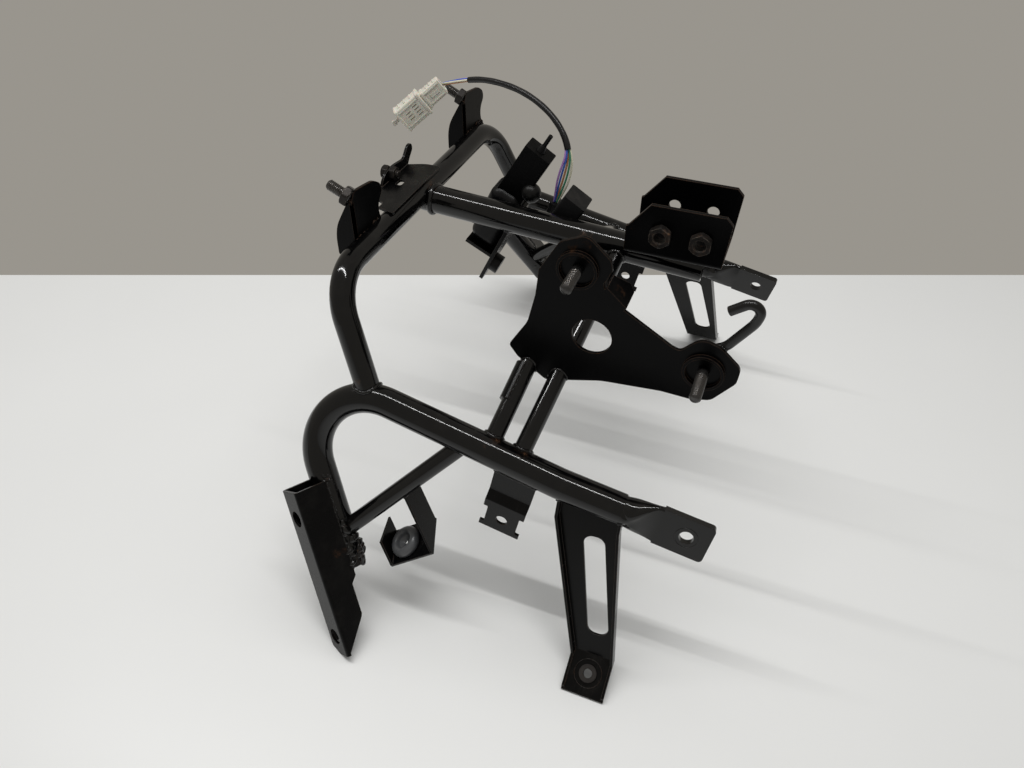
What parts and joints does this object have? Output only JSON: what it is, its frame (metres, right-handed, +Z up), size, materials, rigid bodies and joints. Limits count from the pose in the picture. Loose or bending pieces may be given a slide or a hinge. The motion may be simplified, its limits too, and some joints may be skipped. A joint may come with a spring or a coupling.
{
  "type": "motorcycle fairing stay",
  "caption": "Welded black tube stay that carries a motorcycle's front fairing, lamp and instruments, with pressed brackets, an actuator and its lead.",
  "frame": {"origin": "on the surface that the stay stands on, below the middle of its frame", "axes": "+X to the motorcycle's left, +Y to its rear, +Z up"},
  "size_m": [0.5406, 0.3413, 0.3212],
  "materials": {
    "frame": "semi-gloss black paint, scuffed and rusty at welds",
    "steel": "tarnished plated steel",
    "rubber": "matt",
    "black_plastic": "matt black",
    "nylon": "cream nylon",
    "lead": "black sleeve with coloured wires"
  },
  "bodies": {
    "root": {"actuator_body": "black_plastic", "actuator_bush": "rubber", "actuator_flange": "frame", "actuator_strip": "frame", "centre_bolt": "steel", "centre_plate": "frame", "connector_front": "nylon", "connector_latch": "nylon", "connector_rear": "nylon", "head_bracket": "frame", "head_nut_front": "steel", "head_nut_rear": "steel", "hook_rod": "frame", "instrument_plate": "frame", "lead_tube": "lead", "left_channel_bracket": "frame", "left_clip_tab": "frame", "left_diagonal_strut": "frame", "left_foot_nut": "steel", "left_front_strut": "frame", "left_grommet": "rubber", "left_grommet_strap": "frame", "left_leg_bracket": "frame", "left_lower_tube": "frame", "left_rear_strut": "frame", "left_screen_bracket": "frame", "left_screen_nut": "steel", "left_screen_stud": "steel", "rear_stud": "steel", "right_channel_bracket": "frame", "right_clip_tab": "frame", "right_diagonal_strut": "frame", "right_foot_nut": "steel", "right_front_strut": "frame", "right_grommet": "rubber", "right_grommet_strap": "frame", "right_leg_bracket": "frame", "right_lower_tube": "frame", "right_rear_strut": "frame", "right_screen_bracket": "frame", "right_screen_nut": "steel", "right_screen_stud": "steel", "sensor_box": "black_plastic", "sensor_lug": "black_plastic", "socket_block": "black_plastic", "socket_boot": "black_plastic", "socket_stalk": "black_plastic", "spine_tube": "frame", "spine_weld": "frame", "strut_saddle": "frame", "top_loop_tube": "frame", "upper_stud": "steel"}
  },
  "joints": []
}
